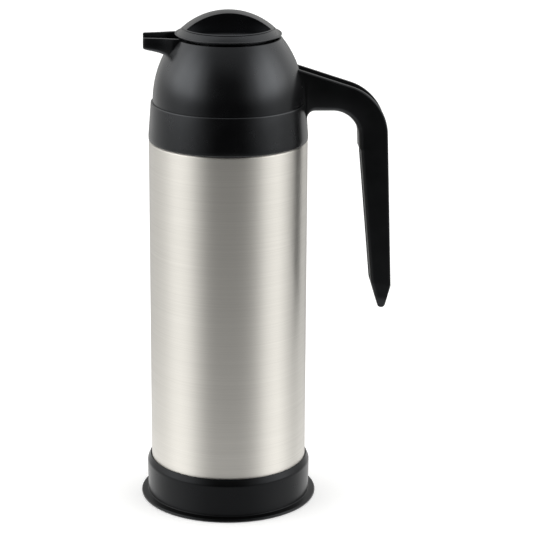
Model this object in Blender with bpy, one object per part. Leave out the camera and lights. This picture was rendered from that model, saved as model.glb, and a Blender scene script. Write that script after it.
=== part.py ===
"""Insulated stainless steel coffee server with a screw stopper, a pouring spout and an open-ended handle.

The server stands on the XY plane with its axis on Z. The handle points along +X and the spout along -X.
Constants and outlines are in millimetres. The model is in metres.
"""
import math

import bmesh
import bpy

MM = 0.001
MERGE = 0.00001

# Driving sizes, in millimetres.
STEEL_R = 45.0
STEEL_WALL = 0.8
LINER_R = 40.6
NECK_R = 30.0
MOUTH_R = 25.0
STEEL_LEDGE_Z = 213.1
BASE_TOP_Z = 24.6
SEAM_Z = 235.7
DOME_TOP_Z = 272.3
PLASTIC_WALL = 2.2
GAP = 0.3

# The dome's wall in section is an arc. Its centre lies across the axis, level with the seam.
DOME_ARC_R = 58.5
DOME_ARC_X = -15.8

SPOUT_RIM_Z = 273.4

# Stopper cap: a cap of a sphere with two scoops that leave a finger fin.
CAP_APEX_Z = 287.2
CAP_SPHERE_R = 39.0
CAP_EDGE_Z = 273.75
CAP_R = 30.0
SCOOP_FLOOR_Z = 274.3
CAP_FLOOR_Z = 272.9
SCOOP_R = 110.0
SCOOP_EDGE_R = 24.2
SCOOP_COVE_R = 1.8
FIN_HALF_WIDTH = 6.2

# Quick-turn thread with three starts, between the stopper and the pouring ring.
STARTS = 3
LEAD = 18.0
BORE_R = 28.6
PLUG_R = 26.5
PLUG_TOP_Z = 272.6
LUG_R = 28.1
RIDGE_R = 27.0
LUG_SPAN = 50.0
RIDGE_SPAN = 100.0
LUG_Z = 258.6
RIDGE_Z = 261.1

# Handle. Its outer edge runs from inside its root, round the bend, to near its tip.
BACK_ROOT = (30.0, 258.0)
BACK_BEND = (89.2, 238.3)
BACK_END = (93.3, 127.8)
BACK_BEND_R = 30.0
HANDLE_WIDTH = 17.0
CHANNEL_WIDTH = 11.6
CHANNEL_DEPTH = 4.2
CHANNEL_END_Z = 126.0
COVER_THICKNESS = 2.0
SCREW_Z = 240.8
SCREW_SIDES = (("left", 4.5), ("right", -4.5))

ROUND_STEPS = 40
HIDDEN_STEPS = 32
SMALL_STEPS = 20


def clear_scene():
    for thing in list(bpy.data.objects):
        bpy.data.objects.remove(thing, do_unlink=True)


def material(name, colour, roughness, metallic=0.0):
    mat = bpy.data.materials.new(name)
    mat.use_nodes = True
    shader = mat.node_tree.nodes["Principled BSDF"]
    shader.inputs["Base Color"].default_value = (*colour, 1.0)
    shader.inputs["Roughness"].default_value = roughness
    shader.inputs["Metallic"].default_value = metallic
    return mat


def add_object(name, mesh, mat):
    thing = bpy.data.objects.new(name, mesh)
    bpy.context.scene.collection.objects.link(thing)
    if mat is not None:
        mesh.materials.append(mat)
    return thing


def tool(thing):
    """Mark an object as a cutter or as a shape to be merged, and not as a part."""
    thing.hide_render = True
    thing.display_type = "WIRE"
    return thing


def arc(centre_x, centre_z, radius, start_deg, end_deg, steps):
    """Points on an arc, from one angle to another, both ends included."""
    points = []
    for i in range(steps + 1):
        angle = math.radians(start_deg + (end_deg - start_deg) * i / steps)
        points.append((centre_x + radius * math.cos(angle), centre_z + radius * math.sin(angle)))
    return points


def rounded(corners, closed=True, steps=1):
    """Turn corners (x, z) or (x, z, fillet radius) into the points of an outline."""
    points = []
    last = len(corners) - 1
    for i, corner in enumerate(corners):
        x, z = corner[0], corner[1]
        radius = corner[2] if len(corner) > 2 else 0.0
        if radius == 0.0 or (not closed and i in (0, last)):
            points.append((x, z))
            continue
        before, after = corners[i - 1], corners[(i + 1) % len(corners)]
        ax, az = before[0] - x, before[1] - z
        bx, bz = after[0] - x, after[1] - z
        a_len, b_len = math.hypot(ax, az), math.hypot(bx, bz)
        ax, az, bx, bz = ax / a_len, az / a_len, bx / b_len, bz / b_len
        half = 0.5 * math.acos(max(-1.0, min(1.0, ax * bx + az * bz)))
        tangent = min(radius / math.tan(half), 0.49 * a_len, 0.49 * b_len)
        radius = tangent * math.tan(half)
        mx, mz = ax + bx, az + bz
        m_len = math.hypot(mx, mz)
        to_centre = radius / math.sin(half)
        cx, cz = x + mx / m_len * to_centre, z + mz / m_len * to_centre
        start = math.atan2(z + az * tangent - cz, x + ax * tangent - cx)
        end = math.atan2(z + bz * tangent - cz, x + bx * tangent - cx)
        turn = (end - start + math.pi) % (2 * math.pi) - math.pi
        for k in range(steps + 1):
            angle = start + turn * k / steps
            points.append((cx + radius * math.cos(angle), cz + radius * math.sin(angle)))
    return points


def turned(name, outline, mat=None, steps=ROUND_STEPS, closed=True, centre=(0.0, 0.0)):
    """A body of revolution about Z. The outline (radius, z) runs down its outer side first."""
    mesh = bpy.data.meshes.new(name)
    edges = [(i, i + 1) for i in range(len(outline) - 1)]
    if closed:
        edges.append((len(outline) - 1, 0))
    mesh.from_pydata([(x * MM, 0.0, z * MM) for x, z in outline], edges, [])
    thing = add_object(name, mesh, mat)
    thing.location = (centre[0] * MM, centre[1] * MM, 0.0)
    screw = thing.modifiers.new("turn", "SCREW")
    screw.axis = "Z"
    screw.steps = steps
    screw.render_steps = steps
    screw.use_merge_vertices = True
    screw.merge_threshold = MERGE
    screw.use_smooth_shade = True
    return thing


def finish_mesh(name, bm, mat, sharp_deg=35.0):
    bmesh.ops.recalc_face_normals(bm, faces=bm.faces)
    mesh = bpy.data.meshes.new(name)
    bm.to_mesh(mesh)
    bm.free()
    mesh.shade_smooth()
    mesh.set_sharp_from_angle(angle=math.radians(sharp_deg))
    return add_object(name, mesh, mat)


def side_plate(name, outline, half_width, mat=None, bevel=0.0):
    """A plate with an outline in the XZ plane, centred on Y."""
    bm = bmesh.new()
    face = bm.faces.new([bm.verts.new((x * MM, -half_width * MM, z * MM)) for x, z in outline])
    grown = bmesh.ops.extrude_face_region(bm, geom=[face])
    moved = [item for item in grown["geom"] if isinstance(item, bmesh.types.BMVert)]
    bmesh.ops.translate(bm, verts=moved, vec=(0.0, 2 * half_width * MM, 0.0))
    thing = finish_mesh(name, bm, mat)
    if bevel:
        edge = thing.modifiers.new("edges", "BEVEL")
        edge.width = bevel * MM
        edge.segments = 1
        edge.limit_method = "ANGLE"
        edge.angle_limit = math.radians(60.0)
    return thing


def lofted(name, sections, mat=None):
    """Skin a row of sections with equally many points, and close both ends."""
    bm = bmesh.new()
    rings = [[bm.verts.new((x * MM, y * MM, z * MM)) for x, y, z in section] for section in sections]
    count = len(rings[0])
    for low, high in zip(rings, rings[1:]):
        for i in range(count):
            j = (i + 1) % count
            bm.faces.new((low[i], low[j], high[j], high[i]))
    bm.faces.new(rings[0])
    bm.faces.new(list(reversed(rings[-1])))
    return finish_mesh(name, bm, mat)


def rod(name, start_x, end_x, radius, y, z, mat=None, steps=12):
    """A round rod along X, used to bore or to make a screw."""
    sections = []
    for x in (start_x, end_x):
        ring = []
        for i in range(steps):
            angle = 2 * math.pi * i / steps
            ring.append((x, y + radius * math.cos(angle), z + radius * math.sin(angle)))
        sections.append(ring)
    return lofted(name, sections, mat)


def block(name, low, high):
    """A box between two corners."""
    (x0, y0, z0), (x1, y1, z1) = low, high
    return lofted(name, [[(x, y0, z0), (x, y1, z0), (x, y1, z1), (x, y0, z1)] for x in (x0, x1)])


def combine(target, other, operation):
    step = target.modifiers.new(operation.lower(), "BOOLEAN")
    step.operation = operation
    step.object = tool(other)


def cut(target, *cutters):
    for cutter in cutters:
        combine(target, cutter, "DIFFERENCE")


def join(target, *others):
    for other in others:
        combine(target, other, "UNION")


def helical_bar(name, root_r, crest_r, centre_deg, start_deg, end_deg, centre_z, root_h, crest_h):
    """A bar with a tapered section that follows the thread's helix."""
    sections = []
    pieces = max(4, round((end_deg - start_deg) / 12.5))
    for i in range(pieces + 1):
        degrees = start_deg + (end_deg - start_deg) * i / pieces
        angle = math.radians(degrees)
        z = centre_z + LEAD * (degrees - centre_deg) / 360.0
        corners = ((root_r, -root_h), (crest_r, -crest_h), (crest_r, crest_h), (root_r, root_h))
        sections.append([(r * math.cos(angle), r * math.sin(angle), z + h / 2) for r, h in corners])
    return lofted(name, sections)


def dome_radius(z, inset=0.0):
    radius = DOME_ARC_R - inset
    return DOME_ARC_X + math.sqrt(radius ** 2 - (z - SEAM_Z) ** 2)


def dome_side(top_z, bottom_z, steps, inset=0.0):
    """Points down the dome's wall, inset from its outer face."""
    heights = [top_z + (bottom_z - top_z) * i / steps for i in range(steps + 1)]
    return [(dome_radius(z, inset), z) for z in heights]


def cap_sphere(top_z, edge_r, steps, inset=0.0):
    """Points on the cap's sphere, from its apex out to a radius."""
    radius = CAP_SPHERE_R - inset
    centre_z = top_z + inset - CAP_SPHERE_R
    edge_deg = math.degrees(math.acos(edge_r / radius))
    return arc(0.0, centre_z, radius, 90.0, edge_deg, steps)


def build_base(black, rubber):
    """Base cup with a wide flange, and the rubber pad that the server stands on."""
    cup = rounded([
        (45.65, BASE_TOP_Z), (47.4, 21.3, 2.5), (47.2, 2.4), (50.9, 2.0), (51.2, 1.2),
        (50.9, GAP), (46.0, GAP), (46.0, 1.8), (0.0, 1.8)], closed=False)
    inside = [(0.0, 3.8), (45.35, 3.8), (45.35, BASE_TOP_Z)]
    turned("base_cup", cup + inside, black)
    pad = [(0.0, 1.5), (45.7, 1.5), (45.7, 0.4), (45.3, 0.0), (0.0, 0.0)]
    turned("foot_pad", pad, rubber, HIDDEN_STEPS, closed=False)


def build_flask(steel, getter_metal):
    """Double-walled vacuum flask: outer shell, liner, bottom, getter and seal."""
    in_r = STEEL_R - STEEL_WALL
    step_r = 42.6
    turned("outer_shell", rounded([
        (NECK_R, 251.0), (NECK_R, 243.5, 4.0), (step_r, 221.0, 10.0), (step_r, 214.6, 0.6),
        (STEEL_R, STEEL_LEDGE_Z, 0.6), (STEEL_R, 5.0), (in_r, 5.0), (in_r, 212.7),
        (step_r - STEEL_WALL, 214.2), (step_r - STEEL_WALL, 220.8, 9.2),
        (NECK_R - STEEL_WALL, 243.2, 4.8), (NECK_R - STEEL_WALL, 251.0)]), steel)
    outer_mouth = MOUTH_R + STEEL_WALL
    turned("inner_liner", rounded([
        (NECK_R, 252.1), (NECK_R, 251.3), (outer_mouth, 251.3, 0.8), (outer_mouth, 238.0, 6.0),
        (LINER_R, 212.0, 14.0), (LINER_R, 13.0, 5.0), (0.0, 12.4)], closed=False)
        + rounded([
            (0.0, 13.2), (LINER_R - STEEL_WALL, 13.8, 4.2), (LINER_R - STEEL_WALL, 211.7, 13.2),
            (MOUTH_R, 237.8, 6.8), (MOUTH_R, 252.1)], closed=False), steel)
    turned("outer_bottom", [
        (0.0, 9.0), (14.0, 9.0), (22.0, 6.8), (41.0, 6.8), (43.0, 9.8), (43.8, 9.8),
        (43.8, 8.6), (41.6, 5.9), (22.0, 5.9), (14.0, 8.1), (0.0, 8.1)], steel, HIDDEN_STEPS, closed=False)
    turned("vacuum_seal", [(0.0, 7.7), (3.0, 7.7), (3.0, 7.0), (2.2, 6.2), (0.0, 6.0)],
           getter_metal, SMALL_STEPS, closed=False)
    turned("getter_pellet", [(0.0, 10.4), (4.5, 10.4), (5.0, 9.9), (5.0, 7.2), (0.0, 7.2)],
           getter_metal, SMALL_STEPS, closed=False, centre=(30.0, 0.0))


def build_collar(black):
    turned("collar_ring", [
        (42.0, SEAM_Z - GAP), (43.3, SEAM_Z - GAP), (43.7, SEAM_Z - 3 * GAP), (45.2, 216.5),
        (45.2, 214.0), (44.9, 213.4), (43.0, 214.8), (43.0, 222.0)], black)


def spout_section(x, half_width, bottom_z, top_z, chamfer):
    return [
        (x, -half_width, top_z), (x, -half_width, bottom_z + chamfer), (x, -half_width + chamfer, bottom_z),
        (x, half_width - chamfer, bottom_z), (x, half_width, bottom_z + chamfer), (x, half_width, top_z)]


def build_dome(black):
    """Shoulder dome with the spout moulded on and the handle's screw holes."""
    well_wall = dome_side(269.6, 236.6, 5, PLASTIC_WALL)
    outline = [(BORE_R, DOME_TOP_Z), (dome_radius(DOME_TOP_Z) - 0.5, DOME_TOP_Z)]
    outline += dome_side(DOME_TOP_Z - 0.4, SEAM_Z, 8)
    outline += [(41.6, SEAM_Z), (41.6, 228.5), (39.9, 228.5), (39.9, 235.2)]
    outline += list(reversed(well_wall)) + [(BORE_R, 269.6)]
    dome = turned("shoulder_dome", outline, black)

    # The spout starts at its root, just outside the dome's bore.
    blank = lofted("spout_blank", [
        spout_section(-26.0, 12.6, 267.7, SPOUT_RIM_Z, 1.0),
        spout_section(-31.2, 12.4, 267.7, SPOUT_RIM_Z, 1.0),
        spout_section(-31.5, 12.2, 259.6, SPOUT_RIM_Z, 2.6),
        spout_section(-35.2, 11.2, 263.6, SPOUT_RIM_Z, 2.4),
        spout_section(-38.5, 10.3, 265.0, SPOUT_RIM_Z, 2.0),
        spout_section(-47.0, 8.9, 266.7, SPOUT_RIM_Z, 1.4),
        spout_section(-47.9, 8.2, 267.5, SPOUT_RIM_Z - 0.5, 1.0)])
    root_r = BORE_R + 0.4
    root = [(0.0, 276.0), (root_r, 276.0), (root_r, 262.0), (0.0, 262.0)]
    cut(blank, turned("spout_root", root, closed=False))
    join(dome, blank)
    cut(dome, lofted("spout_channel", [
        spout_section(-20.0, 10.6, 265.0, 276.0, 2.0),
        spout_section(-35.0, 9.2, 267.4, 276.0, 2.0),
        spout_section(-50.0, 6.8, 269.7, 276.0, 1.2)]))
    for side, y in SCREW_SIDES:
        cut(dome, rod(f"dome_screw_hole_{side}", 34.0, 46.0, 2.1, y, SCREW_Z))


def build_pouring_ring(black, silicone):
    """Threaded ring that grips the flask's neck, and the gasket between them."""
    ring = turned("pouring_ring", [
        (BORE_R, 267.0), (30.3, 267.0), (30.3, 256.2), (31.8, 256.2), (32.6, 255.4), (32.6, 246.0),
        (30.4, 246.0), (30.4, 253.9), (27.3, 253.9), (27.3, 255.2), (BORE_R, 255.2)], black)
    for start in range(STARTS):
        centre = 60.0 + 360.0 / STARTS * start
        first = centre - LUG_SPAN / 2
        join(ring, helical_bar(
            f"ring_thread_{start}", 29.4, RIDGE_R, centre, first, first + RIDGE_SPAN, RIDGE_Z, 2.0, 1.2))
    cut(ring, block("ring_notch", (-36.0, -10.4, 264.8), (-20.0, 10.4, 275.0)))
    gasket = [(27.2, 253.6), (30.0, 253.6), (30.0, 252.4), (27.2, 252.4)]
    turned("neck_gasket", gasket, silicone, HIDDEN_STEPS)


def handle_outline():
    """Side outline of the handle, from the top of its root, round the bend, to the tip and back."""
    return rounded([
        BACK_ROOT, (*BACK_BEND, BACK_BEND_R), (*BACK_END, 2.5), (89.9, 115.6, 1.8), (86.1, 115.2, 1.8),
        (81.8, 129.8, 3.0), (72.2, 230.9, 17.0), (44.0, 230.9, 4.5), (43.6, 224.0),
        (30.0, 236.0)], steps=5)


def handle_back_curve(inset, end_z):
    """The handle's outer edge, inset, from inside its root to a height on the grip."""
    (x0, z0), (x1, z1), (x2, z2) = BACK_ROOT, BACK_BEND, BACK_END
    x2 += (x1 - x2) / (z1 - z2) * (end_z - z2)
    z2 = end_z
    top = (x1 - x0, z1 - z0)
    top_len = math.hypot(*top)
    nx, nz = top[1] / top_len, -top[0] / top_len
    side = (x2 - x1, z2 - z1)
    side_len = math.hypot(*side)
    mx, mz = side[1] / side_len, -side[0] / side_len
    bend = 1.0 + nx * mx + nz * mz
    corner_x = x1 + inset * (nx + mx) / bend
    corner_z = z1 + inset * (nz + mz) / bend
    return rounded([
        (x0 + inset * nx, z0 + inset * nz), (corner_x, corner_z, BACK_BEND_R - inset),
        (x2 + inset * mx, z2 + inset * mz)], closed=False, steps=5)


def build_handle(black, grip_black, steel):
    """Handle frame with a channel down its back, the strip in the channel, and its finger strip."""
    frame = side_plate("handle_frame", handle_outline(), HANDLE_WIDTH / 2, black, bevel=1.2)
    seat = [(0.0, 258.0), (dome_radius(258.0) + GAP, 258.0)]
    seat += [(x + GAP, z) for x, z in dome_side(255.0, SEAM_Z, 5)]
    seat += [(43.7 + GAP, SEAM_Z - 0.2), (45.2 + GAP, 216.5), (0.0, 216.5)]
    cut(frame, turned("handle_seat", seat, closed=False))

    channel = handle_back_curve(-2.0, CHANNEL_END_Z)
    channel += reversed(handle_back_curve(CHANNEL_DEPTH, CHANNEL_END_Z))
    cut(frame, side_plate("handle_channel", channel, CHANNEL_WIDTH / 2))
    strip_end = CHANNEL_END_Z + 0.4
    cover = handle_back_curve(CHANNEL_DEPTH - COVER_THICKNESS - GAP, strip_end)
    cover += reversed(handle_back_curve(CHANNEL_DEPTH - GAP, strip_end))
    strip = side_plate("handle_back_strip", cover, CHANNEL_WIDTH / 2 - GAP, black)
    strip_seat = [seat[0]] + [(x + GAP, z) for x, z in seat[1:-1]] + [seat[-1]]
    cut(strip, turned("strip_seat", strip_seat, closed=False))

    insert = [(74.6, 206.5), (76.6, 206.3), (84.6, 131.0), (82.5, 131.0)]
    pocket = [(70.0, 207.0), (76.9, 206.7), (85.0, 130.6), (78.0, 130.6)]
    insert_half_width = 5.0
    cut(frame, side_plate("grip_pocket", pocket, insert_half_width + GAP))
    side_plate("grip_insert", insert, insert_half_width, grip_black)

    head_x = dome_radius(SCREW_Z, PLASTIC_WALL) - 0.9
    for side, y in SCREW_SIDES:
        cut(frame, rod(f"screw_bore_{side}", 40.0, 54.0, 1.8, y, SCREW_Z))
        screw = rod(f"handle_screw_{side}", head_x - 0.5, 53.5, 1.4, y, SCREW_Z, steel)
        join(screw, rod(f"screw_head_{side}", head_x - 2.0, head_x, 3.0, y, SCREW_Z))


def build_cap(black):
    """Dome-shaped grip cap of the stopper: two scoops leave a fin to turn it by."""
    outline = cap_sphere(CAP_APEX_Z, 28.7, 7) + [
        (29.7, 274.5), (CAP_R, 274.3), (CAP_R, 274.05), (29.6, CAP_EDGE_Z), (27.0, CAP_EDGE_Z),
        (27.0, CAP_FLOOR_Z), (0.0, CAP_FLOOR_Z)]
    cap = turned("stopper_cap", outline, black, closed=False)
    limit = [(0.0, 291.0), (SCOOP_EDGE_R, 291.0), (SCOOP_EDGE_R, 270.0), (0.0, 270.0)]
    for side in (1, -1):
        centre_y = side * (SCOOP_R + FIN_HALF_WIDTH)
        cove_z = SCOOP_FLOOR_Z + SCOOP_COVE_R
        scoop = [(0.0, 292.0), (SCOOP_R, 292.0), (SCOOP_R, cove_z)]
        scoop += arc(SCOOP_R - SCOOP_COVE_R, cove_z, SCOOP_COVE_R, -30.0, -90.0, 2) + [(0.0, SCOOP_FLOOR_Z)]
        cutter = turned(f"cap_scoop_{side}", scoop, steps=120, closed=False, centre=(0.0, centre_y))
        combine(cutter, turned(f"scoop_limit_{side}", limit, closed=False), "INTERSECT")
        cut(cap, cutter)
    cut(cap, block("fin_hollow", (-16.0, -3.8, 270.0), (16.0, 3.8, 281.0)))


def build_plug(black, silicone, foam_mat):
    """Insulated plug under the cap, with its thread lugs, gasket, end cap and foam core."""
    plug = turned("stopper_plug", [
        (21.8, PLUG_TOP_Z), (PLUG_R, PLUG_TOP_Z), (PLUG_R, 254.8), (24.2, 254.8), (24.2, 252.1),
        (24.7, 252.0), (24.7, 250.6), (23.8, 249.8), (23.8, 241.6), (23.2, 241.0), (21.8, 241.0)], black)
    for start in range(STARTS):
        centre = 60.0 + 360.0 / STARTS * start
        join(plug, helical_bar(
            f"plug_lug_{start}", PLUG_R - 0.8, LUG_R, centre, centre - LUG_SPAN / 2,
            centre + LUG_SPAN / 2, LUG_Z, 2.2, 1.4))
    gasket = [(24.5, 254.5), (26.6, 254.5), (26.6, 252.8), (26.2, 252.4), (24.5, 252.4)]
    turned("stopper_gasket", gasket, silicone, HIDDEN_STEPS)
    end_cap = [(0.0, 243.2), (21.4, 243.2), (21.4, 241.3), (21.1, 241.0), (0.0, 241.0)]
    turned("stopper_end_cap", end_cap, black, HIDDEN_STEPS, closed=False)
    foam_top = PLUG_TOP_Z - GAP
    turned("stopper_foam", [(0.0, foam_top), (21.4, foam_top), (21.4, 243.5), (0.0, 243.5)],
           foam_mat, SMALL_STEPS, closed=False)


def main():
    clear_scene()
    black = material("satin_black_plastic", (0.020, 0.021, 0.023), 0.42)
    grip_black = material("soft_black_plastic", (0.024, 0.024, 0.025), 0.60)
    steel = material("brushed_steel", (0.62, 0.60, 0.57), 0.32, 1.0)
    getter_metal = material("dull_metal", (0.45, 0.45, 0.46), 0.55, 1.0)
    silicone = material("clear_silicone", (0.72, 0.70, 0.66), 0.50)
    rubber = material("black_rubber", (0.030, 0.030, 0.030), 0.80)
    foam_mat = material("white_foam", (0.85, 0.84, 0.80), 0.90)

    build_base(black, rubber)
    build_flask(steel, getter_metal)
    build_collar(black)
    build_dome(black)
    build_pouring_ring(black, silicone)
    build_handle(black, grip_black, steel)
    build_cap(black)
    build_plug(black, silicone, foam_mat)


main()
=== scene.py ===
"""Looks of the insulated coffee server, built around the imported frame.

Lengths are in millimetres, except where a name ends in _m.
"""
import math

import bmesh
import bpy
from mathutils import Matrix, Vector


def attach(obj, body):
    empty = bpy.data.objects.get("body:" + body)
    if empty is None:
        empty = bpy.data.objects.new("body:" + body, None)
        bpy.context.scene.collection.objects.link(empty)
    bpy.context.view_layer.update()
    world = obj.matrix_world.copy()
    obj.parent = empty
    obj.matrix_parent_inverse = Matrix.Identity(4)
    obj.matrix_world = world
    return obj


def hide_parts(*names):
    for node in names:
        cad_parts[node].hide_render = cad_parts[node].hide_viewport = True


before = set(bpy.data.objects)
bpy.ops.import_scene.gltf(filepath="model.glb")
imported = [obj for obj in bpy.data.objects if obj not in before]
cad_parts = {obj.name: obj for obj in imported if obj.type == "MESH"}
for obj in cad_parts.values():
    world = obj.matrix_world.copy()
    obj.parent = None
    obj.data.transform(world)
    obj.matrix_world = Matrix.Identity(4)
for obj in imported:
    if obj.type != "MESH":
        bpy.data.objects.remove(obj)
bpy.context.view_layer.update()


MM = 0.001

# Sizes repeated from the design, in millimetres.
STEEL_R = 45.0
STEEL_WALL = 0.8
NECK_R = 30.0
BASE_TOP_Z = 24.6
STEEL_LEDGE_Z = 213.1
SEAM_Z = 235.7
DOME_TOP_Z = 272.3
DOME_ARC_R = 58.5
DOME_ARC_X = -15.8
PLASTIC_WALL = 2.2
SPOUT_RIM_Z = 273.4
BORE_R = 28.6
SPOUT_EDGE = 0.45
SPOUT_ROOT_Z = 267.7
SPOUT_ROOT_INSET = 0.4
CAP_APEX_Z = 287.2
CAP_SPHERE_R = 39.0
CAP_EDGE_Z = 273.75
CAP_R = 30.0
CAP_SPHERE_END_R = 28.7
RIM_LINE_R = 25.6
RIM_LINE_DEPTH = 0.4
SCOOP_FLOOR_Z = 274.3
SCOOP_COVE_R = 1.8
CAP_FLOOR_Z = 272.9
SCOOP_R = 110.0
SCOOP_EDGE_R = 24.2
FIN_HALF_WIDTH = 6.2
HANDLE_HALF_WIDTH = 8.5
CHANNEL_HALF_WIDTH = 5.8
CHANNEL_DEPTH = 4.2
STRIP_RECESS = 1.9
GAP = 0.3

ROUND_STEPS = 256


# ---------------------------------------------------------------- mesh tools

def arc(centre_x, centre_z, radius, start_deg, end_deg, steps):
    """Points on an arc, from one angle to another, both ends included."""
    points = []
    for i in range(steps + 1):
        angle = math.radians(start_deg + (end_deg - start_deg) * i / steps)
        points.append((centre_x + radius * math.cos(angle), centre_z + radius * math.sin(angle)))
    return points


def rounded(corners, closed=True, steps=6):
    """Turn corners (x, z) or (x, z, fillet radius) into the points of an outline."""
    points = []
    last = len(corners) - 1
    for i, corner in enumerate(corners):
        x, z = corner[0], corner[1]
        radius = corner[2] if len(corner) > 2 else 0.0
        if radius == 0.0 or (not closed and i in (0, last)):
            points.append((x, z))
            continue
        before, after = corners[i - 1], corners[(i + 1) % len(corners)]
        ax, az = before[0] - x, before[1] - z
        bx, bz = after[0] - x, after[1] - z
        a_len, b_len = math.hypot(ax, az), math.hypot(bx, bz)
        ax, az, bx, bz = ax / a_len, az / a_len, bx / b_len, bz / b_len
        half = 0.5 * math.acos(max(-1.0, min(1.0, ax * bx + az * bz)))
        tangent = min(radius / math.tan(half), 0.49 * a_len, 0.49 * b_len)
        radius = tangent * math.tan(half)
        mx, mz = ax + bx, az + bz
        m_len = math.hypot(mx, mz)
        to_centre = radius / math.sin(half)
        cx, cz = x + mx / m_len * to_centre, z + mz / m_len * to_centre
        start = math.atan2(z + az * tangent - cz, x + ax * tangent - cx)
        end = math.atan2(z + bz * tangent - cz, x + bx * tangent - cx)
        turn = (end - start + math.pi) % (2 * math.pi) - math.pi
        for k in range(steps + 1):
            angle = start + turn * k / steps
            points.append((cx + radius * math.cos(angle), cz + radius * math.sin(angle)))
    return points


def finish_mesh(name, bm, mat, sharp_deg=38.0):
    bmesh.ops.remove_doubles(bm, verts=bm.verts, dist=1e-6)
    bmesh.ops.recalc_face_normals(bm, faces=bm.faces)
    mesh = bpy.data.meshes.new(name)
    bm.to_mesh(mesh)
    bm.free()
    mesh.shade_smooth()
    mesh.set_sharp_from_angle(angle=math.radians(sharp_deg))
    thing = bpy.data.objects.new(name, mesh)
    bpy.context.scene.collection.objects.link(thing)
    if mat is not None:
        mesh.materials.append(mat)
    return thing


def skin(name, rings, mat=None, sharp_deg=38.0):
    """Skin rows of equally many points (x, y, z), in millimetres, and close both ends."""
    bm = bmesh.new()
    rows = [[bm.verts.new(Vector(point) * MM) for point in ring] for ring in rings]
    count = len(rows[0])
    for low, high in zip(rows, rows[1:]):
        for i in range(count):
            j = (i + 1) % count
            bm.faces.new((low[i], low[j], high[j], high[i]))
    bm.faces.new(rows[0])
    bm.faces.new(list(reversed(rows[-1])))
    return finish_mesh(name, bm, mat, sharp_deg)


def turned(name, outline, mat=None, steps=ROUND_STEPS, centre=(0.0, 0.0)):
    """A body of revolution about Z from a closed outline (radius, z). A point on the axis makes a pole."""
    bm = bmesh.new()
    rows = []
    for x, z in outline:
        if x < 1e-9:
            rows.append([bm.verts.new((centre[0] * MM, centre[1] * MM, z * MM))])
            continue
        row = []
        for i in range(steps):
            angle = 2 * math.pi * i / steps
            px, py = centre[0] + x * math.cos(angle), centre[1] + x * math.sin(angle)
            row.append(bm.verts.new((px * MM, py * MM, z * MM)))
        rows.append(row)
    for a, b in zip(rows, rows[1:] + rows[:1]):
        if len(a) == 1 and len(b) == 1:
            continue
        for i in range(steps):
            j = (i + 1) % steps
            if len(a) == 1:
                bm.faces.new((a[0], b[j], b[i]))
            elif len(b) == 1:
                bm.faces.new((a[i], a[j], b[0]))
            else:
                bm.faces.new((a[i], a[j], b[j], b[i]))
    return finish_mesh(name, bm, mat)


def boolean(target, other, operation):
    """Apply a Boolean at once and remove the other object."""
    step = target.modifiers.new("boolean", "BOOLEAN")
    step.operation = operation
    step.object = other
    apply_modifiers(target)
    bpy.data.objects.remove(other, do_unlink=True)


def apply_modifiers(thing):
    bpy.context.view_layer.update()
    evaluated = thing.evaluated_get(bpy.context.evaluated_depsgraph_get())
    mesh = bpy.data.meshes.new_from_object(evaluated)
    old = thing.data
    thing.modifiers.clear()
    thing.data = mesh
    mesh.name = old.name
    bpy.data.meshes.remove(old)


def resample(points, count):
    """Points evenly spaced along a polyline, both ends included."""
    lengths = [0.0]
    for (x0, z0), (x1, z1) in zip(points, points[1:]):
        lengths.append(lengths[-1] + math.hypot(x1 - x0, z1 - z0))
    result = []
    k = 0
    for i in range(count):
        target = lengths[-1] * i / (count - 1)
        while k < len(points) - 2 and lengths[k + 1] < target:
            k += 1
        span = lengths[k + 1] - lengths[k]
        t = 0.0 if span == 0.0 else (target - lengths[k]) / span
        (x0, z0), (x1, z1) = points[k], points[k + 1]
        result.append((x0 + (x1 - x0) * t, z0 + (z1 - z0) * t))
    return result


# ---------------------------------------------------------------- materials

class Nodes:
    """Small helper for building a node tree."""

    def __init__(self, name):
        self.mat = bpy.data.materials.new(name)
        self.mat.use_nodes = True
        self.tree = self.mat.node_tree
        self.shader = self.tree.nodes["Principled BSDF"]

    def add(self, kind, **values):
        node = self.tree.nodes.new(kind)
        for key, value in values.items():
            setattr(node, key, value)
        return node

    def link(self, source, target):
        self.tree.links.new(source, target)

    def position(self, scale):
        """Object coordinates in millimetres, scaled per axis."""
        coords = self.add("ShaderNodeTexCoord")
        mapping = self.add("ShaderNodeMapping")
        mapping.inputs["Scale"].default_value = [value / MM for value in scale]
        self.link(coords.outputs["Object"], mapping.inputs["Vector"])
        return mapping.outputs["Vector"]

    def noise(self, scale, detail=4.0, roughness=0.5):
        node = self.add("ShaderNodeTexNoise")
        node.inputs["Scale"].default_value = 1.0
        node.inputs["Detail"].default_value = detail
        node.inputs["Roughness"].default_value = roughness
        self.link(self.position(scale), node.inputs["Vector"])
        return node.outputs["Fac"]

    def ramp(self, value, low, high, start=0.3, end=0.7):
        """Map a value to a range of numbers."""
        node = self.add("ShaderNodeMapRange")
        node.inputs["From Min"].default_value = start
        node.inputs["From Max"].default_value = end
        node.inputs["To Min"].default_value = low
        node.inputs["To Max"].default_value = high
        self.link(value, node.inputs["Value"])
        return node.outputs["Result"]

    def tint(self, value, dark, light):
        node = self.add("ShaderNodeMix", data_type="RGBA")
        node.inputs[6].default_value = (*dark, 1.0)
        node.inputs[7].default_value = (*light, 1.0)
        self.link(value, node.inputs[0])
        return node.outputs[2]

    def bump(self, value, strength, distance, normal=None):
        node = self.add("ShaderNodeBump")
        node.inputs["Strength"].default_value = strength
        node.inputs["Distance"].default_value = distance * MM
        self.link(value, node.inputs["Height"])
        if normal is not None:
            self.link(normal, node.inputs["Normal"])
        return node.outputs["Normal"]


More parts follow.
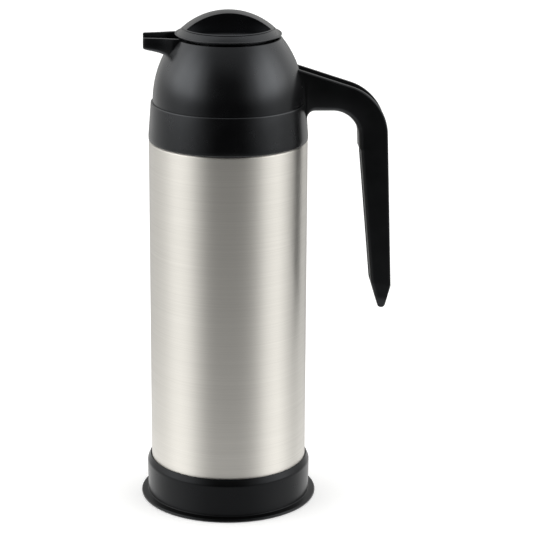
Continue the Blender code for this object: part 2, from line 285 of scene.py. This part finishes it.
def brushed_steel(name="brushed_steel", roughness=(0.40, 0.48), anisotropic=0.9):
    n = Nodes(name)
    fine = n.noise((0.012, 0.012, 5.2), detail=3.0, roughness=0.65)
    broad = n.noise((0.010, 0.010, 0.9), detail=3.0, roughness=0.6)
    cloud = n.noise((0.03, 0.03, 0.012), detail=2.0)
    base = n.tint(n.ramp(fine, 0.0, 1.0, 0.25, 0.75), (0.61, 0.59, 0.55), (0.71, 0.69, 0.645))
    n.link(base, n.shader.inputs["Base Color"])
    n.shader.inputs["Metallic"].default_value = 1.0
    mixed = n.add("ShaderNodeMath", operation="ADD")
    n.link(n.ramp(broad, roughness[0], roughness[1]), mixed.inputs[0])
    n.link(n.ramp(cloud, -0.02, 0.02), mixed.inputs[1])
    n.link(mixed.outputs[0], n.shader.inputs["Roughness"])
    n.shader.inputs["Anisotropic"].default_value = anisotropic
    n.shader.inputs["Anisotropic Rotation"].default_value = 0.25
    tangent = n.add("ShaderNodeTangent", direction_type="RADIAL", axis="Z")
    n.link(tangent.outputs["Tangent"], n.shader.inputs["Tangent"])
    normal = n.bump(fine, 0.10, 0.05)
    normal = n.bump(broad, 0.05, 0.10, normal)
    n.link(normal, n.shader.inputs["Normal"])
    return n.mat


def moulded_plastic(name, dark, light, roughness, grain_mm, grain_strength, specular=0.5):
    """Moulded plastic: a fine spark-eroded grain, faint flow variation and slightly uneven gloss."""
    n = Nodes(name)
    flow = n.noise((0.035, 0.035, 0.022), detail=4.0)
    grain_scale = 1.0 / grain_mm
    grain = n.noise((grain_scale, grain_scale, grain_scale), detail=2.0, roughness=0.55)
    wear = n.noise((0.09, 0.09, 0.09), detail=5.0, roughness=0.6)
    n.link(n.tint(n.ramp(flow, 0.0, 1.0), dark, light), n.shader.inputs["Base Color"])
    n.link(n.ramp(wear, roughness - 0.035, roughness + 0.035), n.shader.inputs["Roughness"])
    n.shader.inputs["Specular IOR Level"].default_value = specular
    # Specular tint: a painted cool tone in the reflections, standing in for the cool studio light seen in
    # them.
    n.shader.inputs["Specular Tint"].default_value = (0.91, 0.945, 1.0, 1.0)
    normal = n.bump(grain, grain_strength, 0.03)
    normal = n.bump(wear, 0.03, 0.25, normal)
    n.link(normal, n.shader.inputs["Normal"])
    return n.mat


def soft_solid(name, dark, light, roughness, cell_mm, strength):
    """Rubber, silicone or foam: a matt surface with a fine cell or skin texture."""
    n = Nodes(name)
    cells = n.noise((1 / cell_mm, 1 / cell_mm, 1 / cell_mm), detail=3.0)
    n.link(n.tint(n.ramp(cells, 0.0, 1.0), dark, light), n.shader.inputs["Base Color"])
    n.link(n.ramp(cells, roughness - 0.05, roughness + 0.05), n.shader.inputs["Roughness"])
    n.link(n.bump(cells, strength, 0.05), n.shader.inputs["Normal"])
    return n.mat


STEEL = brushed_steel()
INNER_STEEL = brushed_steel("inner_steel", (0.20, 0.28), 0.5)
BLACK = moulded_plastic(
    "satin_black", (0.0008, 0.0008, 0.0010), (0.0014, 0.0014, 0.0016), 0.25, 0.22, 0.07, 0.58)
HANDLE_BLACK = moulded_plastic(
    "handle_black", (0.0012, 0.0012, 0.0012), (0.0018, 0.0018, 0.0018), 0.33, 0.30, 0.12, 0.4)
BASE_BLACK = moulded_plastic(
    "base_black", (0.0010, 0.0010, 0.0010), (0.0016, 0.0016, 0.0016), 0.30, 0.25, 0.08, 0.20)
GRIP_BLACK = moulded_plastic(
    "grip_black", (0.0020, 0.0020, 0.0020), (0.0030, 0.0030, 0.0030), 0.50, 0.35, 0.20)
RUBBER = soft_solid("pad_rubber", (0.012, 0.012, 0.012), (0.020, 0.020, 0.020), 0.85, 0.4, 0.3)
SILICONE = soft_solid("gasket_silicone", (0.62, 0.60, 0.56), (0.70, 0.68, 0.64), 0.45, 0.8, 0.1)
FOAM = soft_solid("plug_foam", (0.74, 0.73, 0.68), (0.88, 0.87, 0.83), 0.92, 0.9, 0.6)
DULL_METAL = soft_solid("dull_metal", (0.30, 0.30, 0.31), (0.40, 0.40, 0.41), 0.50, 0.5, 0.2)
DULL_METAL.node_tree.nodes["Principled BSDF"].inputs["Metallic"].default_value = 1.0


def place(piece, body, node):
    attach(piece, body)
    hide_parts(node)


# ---------------------------------------------------------------- steel and base

def build_steel():
    in_r = STEEL_R - STEEL_WALL
    step_r = 42.6
    outline = rounded([
        (NECK_R, 251.0), (NECK_R, 243.5, 4.0), (step_r, 221.0, 10.0), (step_r, 214.6, 0.6),
        (STEEL_R, STEEL_LEDGE_Z, 0.8), (STEEL_R, 5.0), (in_r, 5.0), (in_r, 212.7),
        (step_r - STEEL_WALL, 214.2), (step_r - STEEL_WALL, 220.8, 9.2),
        (NECK_R - STEEL_WALL, 243.2, 4.8), (NECK_R - STEEL_WALL, 251.0)])
    place(turned("steel_tube", outline, STEEL), "flask", "outer_shell")


def build_base():
    outline = rounded([
        (45.42, BASE_TOP_Z), (45.75, BASE_TOP_Z, 0.15), (47.45, 21.0, 3.4), (47.2, 2.5, 0.5),
        (50.8, 2.0, 0.35), (51.2, 1.2, 0.4), (50.9, GAP, 0.2), (46.0, GAP), (46.0, 1.8), (0.0, 1.8)],
        closed=False)
    outline += rounded([(0.0, 3.8), (45.4, 3.8, 0.5), (45.4, BASE_TOP_Z - 0.1)], closed=False)
    place(turned("base_shell", outline, BASE_BLACK), "flask", "base_cup")

    pad = rounded([(0.0, 1.5), (45.7, 1.5), (45.7, 0.0, 0.4), (30.0, 0.0), (29.6, 0.35), (28.4, 0.35),
                   (28.0, 0.0), (0.0, 0.0)], closed=False)
    place(turned("rubber_pad", pad, RUBBER), "flask", "foot_pad")


def build_collar():
    outline = rounded([
        (42.0, SEAM_Z - GAP), (42.4, SEAM_Z - GAP), (42.5, SEAM_Z - 0.05), (43.75, SEAM_Z - 0.05, 1.0),
        (45.2, 216.5, 6.0),
        (45.15, 213.5, 0.6), (43.0, 214.8), (43.0, 222.0)])
    place(turned("collar_band", outline, BLACK), "flask", "collar_ring")


# ---------------------------------------------------------------- dome and spout

def dome_radius(z, inset=0.0):
    radius = DOME_ARC_R - inset
    return DOME_ARC_X + math.sqrt(radius ** 2 - (z - SEAM_Z) ** 2)


def dome_side(top_z, bottom_z, steps, inset=0.0):
    heights = [top_z + (bottom_z - top_z) * i / steps for i in range(steps + 1)]
    return [(dome_radius(z, inset), z) for z in heights]


def corner(y, z, step_y, step_z, radius, steps=4):
    """A quarter round at a corner. It starts along step_y from the corner and ends along step_z."""
    points = []
    for i in range(steps + 1):
        t = math.pi / 2 * i / steps
        points.append((y + step_y * radius * (1 - math.sin(t)), z + step_z * radius * (1 - math.cos(t))))
    return points


def spout_section(x, half, bottom, top, radius, wall, floor):
    """U-shaped section across the spout: outer side and bottom, then the channel inside."""
    inner = half - wall
    edge = SPOUT_EDGE
    right = [(half, top - edge), (half - 0.3 * edge, top - 0.3 * edge), (half - edge, top)]
    right += [(inner + edge, top), (inner + 0.3 * edge, top - 0.3 * edge), (inner, top - edge)]
    channel = list(reversed(corner(inner, floor, -1, 1, min(1.6, inner * 0.4))))
    outer = list(reversed(corner(half, bottom, -1, 1, radius)))
    ring = right[:]
    ring += channel
    ring += [(-y, z) for y, z in reversed(channel)]
    ring += [(-y, z) for y, z in reversed(right)]
    ring += [(-y, z) for y, z in outer]
    ring += [(y, z) for y, z in reversed(outer)]
    return [(x, y, z) for y, z in ring]


def join_spout_root(dome):
    """The spout's two side walls, carried on over the dome's top to just short of the bore."""
    root_r = BORE_R + SPOUT_ROOT_INSET
    top, edge = SPOUT_RIM_Z - 0.01, SPOUT_EDGE
    for side in (1, -1):
        wall = []
        for x, inner, outer in ((-26.0, 10.4, 12.6), (-31.2, 10.0, 12.2), (-32.6, 10.0, 11.6)):
            profile = [(inner, SPOUT_ROOT_Z), (inner, top - edge), (inner + 0.3 * edge, top - 0.3 * edge),
                       (inner + edge, top), (outer - edge, top), (outer - 0.3 * edge, top - 0.3 * edge),
                       (outer, top - edge), (outer, SPOUT_ROOT_Z)]
            wall.append([(x, side * y, z) for y, z in profile])
        root_wall = skin("root_wall", wall)
        bore = turned("root_bore", [(0.0, 276.0), (root_r, 276.0), (root_r, 262.0), (0.0, 262.0)])
        boolean(root_wall, bore, "DIFFERENCE")
        boolean(dome, root_wall, "UNION")


def join_spout(dome):
    """The spout from the dome's wall to its lip. Stations are (x, half, bottom, radius, wall, floor)."""
    stations = (
        (-31.3, 12.25, 259.3, 3.0, 2.35, 267.0), (-33.4, 11.7, 261.7, 2.8, 2.3, 267.3),
        (-35.2, 11.2, 263.4, 2.6, 2.3, 267.5), (-36.8, 10.75, 264.2, 2.4, 2.2, 267.7),
        (-39.0, 10.25, 265.0, 2.2, 2.1, 268.1), (-42.0, 9.7, 265.7, 1.9, 2.1, 268.6),
        (-45.0, 9.2, 266.3, 1.6, 2.0, 269.2), (-46.9, 8.85, 266.75, 1.5, 1.95, 269.6),
        (-47.5, 8.65, 267.1, 1.5, 1.85, 269.7), (-47.8, 8.35, 267.7, 1.4, 1.7, 269.7))
    rings = []
    for x, half, bottom, radius, wall, floor in stations:
        drop = 0.0 if x > -47.0 else (0.15 if x > -47.6 else 0.45)
        rings.append(spout_section(x, half, bottom, SPOUT_RIM_Z - drop, radius, wall, floor))
    boolean(dome, skin("spout", rings), "UNION")


def build_dome():
    outline = rounded([
        (BORE_R, 269.6), (BORE_R, DOME_TOP_Z, 0.4), (dome_radius(DOME_TOP_Z), DOME_TOP_Z, 0.6),
        (dome_radius(DOME_TOP_Z - 3.0), DOME_TOP_Z - 3.0)], closed=False)
    outline += dome_side(DOME_TOP_Z - 4.0, SEAM_Z + 0.5, 40)
    outline.append((dome_radius(SEAM_Z), SEAM_Z))
    outline += [(41.6, SEAM_Z), (41.6, 228.5), (39.9, 228.5), (39.9, 235.2)]
    outline += list(reversed(dome_side(269.4, 236.6, 24, PLASTIC_WALL)))
    dome = turned("dome_shell", outline, BLACK)

    notch = []
    for x, half, floor in ((-20.0, 10.4, 265.2), (-34.0, 9.3, 267.5), (-40.0, 8.2, 268.4)):
        notch.append([(x, -half, floor), (x, half, floor), (x, half, 277.0), (x, -half, 277.0)])
    boolean(dome, skin("notch", notch), "DIFFERENCE")

    join_spout_root(dome)
    join_spout(dome)
    dome.data.shade_smooth()
    dome.data.set_sharp_from_angle(angle=math.radians(32.0))
    place(dome, "flask", "shoulder_dome")


# ---------------------------------------------------------------- handle

NOTCH_Z = 209.2
CHANNEL_RUN_OUT_Z = 126.5
CHANNEL_FULL_Z = 132.0
STRIP_MIN_X = 44.0
STRIP_MIN_Z = 129.5
SEAT_Z = (131.0, 206.6)
SEAT_DEPTH = 2.2
SEAT_HALF_WIDTH = 5.3
INSERT_Z = (131.6, 206.0)
INSERT_HALF_WIDTH = 5.0
INSERT_RECESS = 0.25
INSERT_CROWN = 0.35
INSERT_BACK = 2.0
GRIP_MIN_X = 70.0
NO_DEPTH = 0.02


def handle_rails():
    """The outer and the inner edge of the handle in four matching stretches: arm, bend, grip and tip."""
    root, bend, end = (30.0, 258.0), (89.2, 238.3), (93.3, 127.8)
    top_slope = (bend[1] - root[1]) / (bend[0] - root[0])
    grip_slope = (end[0] - bend[0]) / (end[1] - bend[1])
    outer = rounded([root, (*bend, 30.0), end], closed=False, steps=40)
    inner = rounded([(43.9, 222.0), (44.2, 230.9, 4.5), (72.2, 230.9, 17.0), (81.7, 129.8)],
                    closed=False, steps=40)
    inner_bend_start = len(inner) - 1 - 41
    arm_out = [(37.0, root[1] + top_slope * 7.0), outer[1]]
    bend_out = outer[1:-1]
    grip_out = [outer[-2], (end[0] + grip_slope * 1.6, end[1] + 1.6)]
    arm_in = inner[:inner_bend_start + 1]
    bend_in = inner[inner_bend_start:-1]
    last_bend = inner[-2]
    slope = (inner[-1][0] - last_bend[0]) / (inner[-1][1] - last_bend[1])

    def on_grip(z, inset):
        return (last_bend[0] + slope * (z - last_bend[1]) + inset, z)

    grip_in = [last_bend, on_grip(NOTCH_Z + 1.2, -0.35), on_grip(NOTCH_Z, -0.45),
               on_grip(NOTCH_Z - 0.5, 0.0), on_grip(NOTCH_Z - 1.6, 0.35), on_grip(NOTCH_Z - 4.0, 0.3),
               on_grip(131.4, 0.0)]
    tip_out = rounded([grip_out[-1], (*end, 2.5), (89.9, 115.4, 2.4), (88.0, 114.9)], closed=False, steps=8)
    tip_in = rounded([grip_in[-1], (*inner[-1], 3.0), (86.1, 115.2, 2.4), (88.0, 114.9)],
                     closed=False, steps=8)
    outs, ins = [], []
    for (a, b), count in (((arm_out, arm_in), 28), ((bend_out, bend_in), 40), ((grip_out, grip_in), 110),
                          ((tip_out, tip_in), 28)):
        outs += resample(a, count)[:-1]
        ins += resample(b, count)[:-1]
    outs.append((89.3, 115.3))
    ins.append((86.8, 115.2))
    return outs, ins


def smooth_step(value, start, end):
    t = max(0.0, min(1.0, (value - start) / (end - start)))
    return t * t * (3 - 2 * t)


def across(out, inn):
    """The handle's thickness at one place, and the direction from its back to its finger side."""
    thick = math.hypot(inn[0] - out[0], inn[1] - out[1])
    return thick, (inn[0] - out[0]) / thick, (inn[1] - out[1]) / thick


def handle_section(out, inn, half):
    """Ring of points across the handle: channel and rails on its back, finger-side pocket in front."""
    thick, ux, uz = across(out, inn)
    size = min(1.0, thick / 9.0)
    depth = max(NO_DEPTH, CHANNEL_DEPTH * smooth_step(out[1], CHANNEL_RUN_OUT_Z, CHANNEL_FULL_Z))
    depth = min(depth, 0.6 * thick)
    pocket = NO_DEPTH
    if SEAT_Z[0] < inn[1] < SEAT_Z[1] and inn[0] > GRIP_MIN_X:
        pocket = SEAT_DEPTH
    edge = 1.1 * size
    inner_edge = (3.0 if inn[1] > NOTCH_Z else 2.3) * size
    lip = min(0.5, depth * 0.5)
    side = [(depth, CHANNEL_HALF_WIDTH - 0.3 * lip), (depth - 0.3 * lip, CHANNEL_HALF_WIDTH),
            (lip, CHANNEL_HALF_WIDTH), (0.3 * lip, CHANNEL_HALF_WIDTH + 0.3 * lip),
            (0.0, CHANNEL_HALF_WIDTH + lip), (0.0, half - edge), (0.12 * edge, half - 0.5 * edge),
            (0.5 * edge, half - 0.12 * edge), (edge, half)]
    for i in range(5):
        t = math.pi / 2 * i / 4
        side.append((thick - inner_edge * (1 - math.sin(t)), half - inner_edge * (1 - math.cos(t))))
    side += [(thick, SEAT_HALF_WIDTH + 0.05), (thick - 0.4 * pocket, SEAT_HALF_WIDTH),
             (thick - pocket, SEAT_HALF_WIDTH)]
    ring = [(depth, 0.0)] + side + [(thick - pocket, 0.0)] + [(a, -b) for a, b in reversed(side)]
    return [(out[0] + ux * a, b, out[1] + uz * a) for a, b in ring]


def build_handle():
    outs, ins = handle_rails()
    rings = []
    for out, inn in zip(outs, ins):
        taper = 1.0 - 0.10 * (1.0 - smooth_step(out[1], 114.0, 121.0))
        rings.append(handle_section(out, inn, HANDLE_HALF_WIDTH * taper))
    shell = skin("handle_shell", rings, HANDLE_BLACK, sharp_deg=40.0)
    place(shell, "flask", "handle_frame")

    strip = []
    for out, inn in zip(outs, ins):
        if out[0] < STRIP_MIN_X or out[1] < STRIP_MIN_Z:
            continue
        _, ux, uz = across(out, inn)
        half = CHANNEL_HALF_WIDTH - GAP
        ring = [(STRIP_RECESS, -half + 0.5), (STRIP_RECESS - 0.25, 0.0), (STRIP_RECESS, half - 0.5),
                (STRIP_RECESS + 0.5, half), (CHANNEL_DEPTH - GAP, half), (CHANNEL_DEPTH - GAP, -half),
                (STRIP_RECESS + 0.5, -half)]
        strip.append([(out[0] + ux * a, b, out[1] + uz * a) for a, b in ring])
    place(skin("back_strip", strip, HANDLE_BLACK), "flask", "handle_back_strip")

    insert = []
    for out, inn in zip(outs, ins):
        if not INSERT_Z[0] < inn[1] < INSERT_Z[1] or inn[0] < GRIP_MIN_X:
            continue
        thick, ux, uz = across(out, inn)
        half_ring = []
        for i in range(9):
            b = INSERT_HALF_WIDTH * math.sin(math.pi / 2 * i / 8)
            half_ring.append((thick - INSERT_RECESS - INSERT_CROWN * (b / INSERT_HALF_WIDTH) ** 4, b))
        ring = [(thick - INSERT_BACK, -INSERT_HALF_WIDTH), (thick - INSERT_BACK, INSERT_HALF_WIDTH)]
        ring += list(reversed(half_ring))
        ring += [(a, -b) for a, b in half_ring[1:]]
        insert.append([(out[0] + ux * a, b, out[1] + uz * a) for a, b in ring])
    place(skin("finger_strip", insert, GRIP_BLACK), "flask", "grip_insert")


# ---------------------------------------------------------------- stopper

def build_cap():
    sphere_z = CAP_APEX_Z - CAP_SPHERE_R
    line_deg = math.degrees(math.acos(RIM_LINE_R / CAP_SPHERE_R))
    edge_deg = math.degrees(math.acos(CAP_SPHERE_END_R / CAP_SPHERE_R))
    outline = arc(0.0, sphere_z, CAP_SPHERE_R, 90.0, line_deg, 56)
    outline += arc(0.0, sphere_z, CAP_SPHERE_R - RIM_LINE_DEPTH, line_deg - 0.15, line_deg - 0.55, 1)
    outline += arc(0.0, sphere_z, CAP_SPHERE_R, line_deg - 0.8, edge_deg, 8)
    outline[0] = (0.0, CAP_APEX_Z)
    outline += rounded([
        (29.1, 274.65), (CAP_R, 274.6, 0.3), (CAP_R, 273.95, 0.3), (29.5, CAP_EDGE_Z, 0.1),
        (27.0, CAP_EDGE_Z), (27.0, CAP_FLOOR_Z), (0.0, CAP_FLOOR_Z)], closed=False)
    cap = turned("cap_shell", outline, BLACK)
    for side in (1, -1):
        cove_z = SCOOP_FLOOR_Z + SCOOP_COVE_R
        scoop = [(0.0, 292.0), (SCOOP_R, 292.0), (SCOOP_R, cove_z)]
        scoop += arc(SCOOP_R - SCOOP_COVE_R, cove_z, SCOOP_COVE_R, 0.0, -90.0, 10) + [(0.0, SCOOP_FLOOR_Z)]
        cutter = turned("scoop", scoop, steps=1080, centre=(0.0, side * (SCOOP_R + FIN_HALF_WIDTH)))
        limit = turned("limit", rounded([
            (0.0, 292.0), (SCOOP_EDGE_R + 1.6, 292.0), (SCOOP_EDGE_R + 1.0, 278.2, 0.8),
            (SCOOP_EDGE_R, 276.6, 1.5), (SCOOP_EDGE_R - 1.2, SCOOP_FLOOR_Z, 1.2), (0.0, SCOOP_FLOOR_Z)],
            closed=False))
        boolean(cutter, limit, "INTERSECT")
        boolean(cap, cutter, "DIFFERENCE")
    cap.data.shade_smooth()
    cap.data.set_sharp_from_angle(angle=math.radians(30.0))
    place(cap, "stopper", "stopper_cap")


build_steel()
build_base()
build_collar()
build_dome()
build_handle()
build_cap()

CARRIED = {
    "inner_liner": INNER_STEEL, "outer_bottom": STEEL, "vacuum_seal": DULL_METAL,
    "getter_pellet": DULL_METAL, "pouring_ring": BLACK, "neck_gasket": SILICONE,
    "handle_screw_left": DULL_METAL, "handle_screw_right": DULL_METAL, "stopper_plug": BLACK,
    "stopper_gasket": SILICONE, "stopper_end_cap": BLACK, "stopper_foam": FOAM}
for node, finish in CARRIED.items():
    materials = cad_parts[node].data.materials
    materials.clear()
    materials.append(finish)


# ---------------------------------------------------------------- floor, lights, camera

GLOW_START_R, GLOW_END_R, GLOW_RADIANCE = 60.0, 420.0, 0.55


def build_floor():
    bm = bmesh.new()
    bmesh.ops.create_grid(bm, x_segments=1, y_segments=1, size=12.0)
    mesh = bpy.data.meshes.new("floor")
    bm.to_mesh(mesh)
    bm.free()
    floor = bpy.data.objects.new("floor", mesh)
    bpy.context.scene.collection.objects.link(floor)
    floor.visible_glossy = False
    floor.visible_diffuse = False
    n = Nodes("pale_floor")
    n.shader.inputs["Base Color"].default_value = (0.80, 0.80, 0.80, 1.0)
    n.shader.inputs["Roughness"].default_value = 0.9
    n.shader.inputs["Specular IOR Level"].default_value = 0.0
    n.shader.inputs["Emission Color"].default_value = (1.0, 1.0, 1.0, 1.0)
    n.shader.inputs["Emission Strength"].default_value = 0.35
    mesh.materials.append(n.mat)


def build_table_glow():
    """The lit table top near the base, as the object's glossy surfaces see it."""
    bm = bmesh.new()
    bmesh.ops.create_circle(bm, cap_ends=True, segments=96, radius=GLOW_END_R * MM,
                            matrix=Matrix.Translation((0.0, 0.0, -0.5 * MM)))
    mesh = bpy.data.meshes.new("table_glow")
    bm.to_mesh(mesh)
    bm.free()
    glow = bpy.data.objects.new("table_glow", mesh)
    bpy.context.scene.collection.objects.link(glow)
    glow.visible_camera = glow.visible_diffuse = glow.visible_shadow = glow.visible_transmission = False
    mat = bpy.data.materials.new("table_glow")
    mat.use_nodes = True
    tree = mat.node_tree
    tree.nodes.clear()
    coords = tree.nodes.new("ShaderNodeTexCoord")
    distance = tree.nodes.new("ShaderNodeVectorMath")
    distance.operation = "LENGTH"
    fade = tree.nodes.new("ShaderNodeMapRange")
    fade.interpolation_type = "SMOOTHSTEP"
    fade.inputs["From Min"].default_value = GLOW_START_R * MM
    fade.inputs["From Max"].default_value = GLOW_END_R * MM
    fade.inputs["To Min"].default_value = GLOW_RADIANCE
    fade.inputs["To Max"].default_value = 0.0
    emission = tree.nodes.new("ShaderNodeEmission")
    clear = tree.nodes.new("ShaderNodeBsdfTransparent")
    both = tree.nodes.new("ShaderNodeAddShader")
    output = tree.nodes.new("ShaderNodeOutputMaterial")
    tree.links.new(coords.outputs["Object"], distance.inputs[0])
    tree.links.new(distance.outputs["Value"], fade.inputs["Value"])
    tree.links.new(fade.outputs["Result"], emission.inputs["Strength"])
    tree.links.new(emission.outputs[0], both.inputs[0])
    tree.links.new(clear.outputs[0], both.inputs[1])
    tree.links.new(both.outputs[0], output.inputs["Surface"])
    mesh.materials.append(mat)


def area_light(name, place_m, target_m, size_m, power):
    light = bpy.data.lights.new(name, "AREA")
    light.shape = "RECTANGLE"
    light.size, light.size_y = size_m
    light.energy = power
    thing = bpy.data.objects.new(name, light)
    thing.location = place_m
    thing.rotation_euler = (Vector(target_m) - Vector(place_m)).to_track_quat("-Z", "Y").to_euler()
    bpy.context.scene.collection.objects.link(thing)


# Brightness of the studio around the object. Azimuth is in degrees from the camera's side (-Y), positive to
# the right (+X). The low surroundings are the table and the lower walls, the high ones are the softboxes.
LOW_SURROUNDINGS = (
    (-180, 0.35), (-150, 0.80), (-120, 0.70), (-98, 0.62), (-76, 0.72), (-58, 0.52), (-44, 0.28),
    (-30, 0.08), (-18, 0.03), (16, 0.03), (30, 0.08), (44, 0.28), (58, 0.50), (72, 0.62), (92, 0.46),
    (106, 0.36), (135, 0.75), (180, 0.35))
HIGH_SURROUNDINGS = (
    (-180, 0.5), (-135, 1.1), (-110, 1.75), (-88, 3.1), (-64, 2.9), (-46, 1.15), (-32, 0.20), (-20, 0.06),
    (10, 0.06), (22, 0.16), (38, 0.75), (58, 2.8), (78, 3.5), (94, 2.3), (112, 1.2), (140, 1.1), (180, 0.5))
FULL_BRIGHTNESS = 5.0


class WorldNodes:
    """The studio's surroundings as a brightness for each direction."""

    def __init__(self):
        world = bpy.data.worlds.new("studio")
        world.use_nodes = True
        bpy.context.scene.world = world
        self.tree = world.node_tree
        coords = self.tree.nodes.new("ShaderNodeTexCoord")
        self.axes = self.tree.nodes.new("ShaderNodeSeparateXYZ")
        self.tree.links.new(coords.outputs["Generated"], self.axes.inputs[0])

    def math(self, operation, *values):
        node = self.tree.nodes.new("ShaderNodeMath")
        node.operation = operation
        for socket, value in zip(node.inputs, values):
            if isinstance(value, (int, float)):
                socket.default_value = value
            else:
                self.tree.links.new(value, socket)
        return node.outputs[0]

    def azimuth_ramp(self, stops):
        """Brightness against azimuth. The ramp itself holds shares of the full brightness."""
        flipped = self.math("MULTIPLY", self.axes.outputs["Y"], -1.0)
        angle = self.math("ARCTAN2", self.axes.outputs["X"], flipped)
        turn = self.math("ADD", self.math("DIVIDE", angle, 2 * math.pi), 0.5)
        ramp = self.tree.nodes.new("ShaderNodeValToRGB")
        ramp.color_ramp.interpolation = "EASE"
        while len(ramp.color_ramp.elements) < len(stops):
            ramp.color_ramp.elements.new(0.5)
        for element, (degrees, value) in zip(ramp.color_ramp.elements, stops):
            element.position = (degrees + 180.0) / 360.0
            element.color = (value / FULL_BRIGHTNESS,) * 3 + (1.0,)
        self.tree.links.new(turn, ramp.inputs[0])
        return self.math("MULTIPLY", ramp.outputs[0], FULL_BRIGHTNESS)

    def step(self, axis, start_deg, end_deg):
        """Rises from 0 to 1 between two angles from the plane across an axis."""
        node = self.tree.nodes.new("ShaderNodeMapRange")
        node.interpolation_type = "SMOOTHSTEP"
        node.inputs["From Min"].default_value = math.sin(math.radians(start_deg))
        node.inputs["From Max"].default_value = math.sin(math.radians(end_deg))
        self.tree.links.new(self.axes.outputs[axis], node.inputs["Value"])
        return node.outputs["Result"]

    def mix(self, share, low, high):
        rest = self.math("MULTIPLY", self.math("SUBTRACT", 1.0, share), low)
        return self.math("ADD", self.math("MULTIPLY", share, high), rest)


def build_surroundings():
    w = WorldNodes()
    low = w.azimuth_ramp(LOW_SURROUNDINGS)
    high = w.azimuth_ramp(HIGH_SURROUNDINGS)
    sides = w.mix(w.step("Z", -2.0, 12.0), low, high)
    front_ceiling, rear_ceiling = 0.42, 1.2
    ceiling = w.mix(w.step("Y", -22.0, 8.0), front_ceiling, rear_ceiling)
    radiance = w.mix(w.step("Z", 22.0, 66.0), sides, ceiling)
    table = 0.85
    radiance = w.mix(w.step("Z", -16.0, -52.0), radiance, table)
    seen = w.tree.nodes.new("ShaderNodeLightPath")
    backdrop = 1.0
    radiance = w.mix(seen.outputs["Is Camera Ray"], radiance, backdrop)
    w.tree.links.new(radiance, w.tree.nodes["Background"].inputs["Strength"])
    w.tree.nodes["Background"].inputs["Color"].default_value = (1.0, 1.0, 0.99, 1.0)


def build_lights():
    build_surroundings()
    area_light("top_softbox", (0.0, 0.25, 1.5), (0.0, 0.05, 0.0), (1.0, 0.8), 0.7)
    bpy.context.scene.view_settings.view_transform = "Standard"


CAMERA_X, CAMERA_DISTANCE, CAMERA_Z = 21.98, 1250.0, 515.5
CAMERA_PITCH_DEG = 16.795
CAMERA_AZIMUTH_DEG = -3.0
CAMERA_ROLL_DEG = 0.29
CAMERA_LENS = 153.07


def build_camera():
    data = bpy.data.cameras.new("camera")
    data.lens = CAMERA_LENS
    data.sensor_width = 36.0
    data.clip_end = 100.0
    camera = bpy.data.objects.new("camera", data)
    bpy.context.scene.collection.objects.link(camera)
    turn = Matrix.Rotation(math.radians(CAMERA_AZIMUTH_DEG), 4, "Z")
    spot = Matrix.Translation(Vector((CAMERA_X, -CAMERA_DISTANCE, CAMERA_Z)) * MM)
    tilt = Matrix.Rotation(math.radians(90.0 - CAMERA_PITCH_DEG), 4, "X")
    roll = Matrix.Rotation(math.radians(CAMERA_ROLL_DEG), 4, "Z")
    camera.matrix_world = turn @ spot @ tilt @ roll
    bpy.context.scene.camera = camera


build_floor()
build_table_glow()
build_lights()
build_camera()
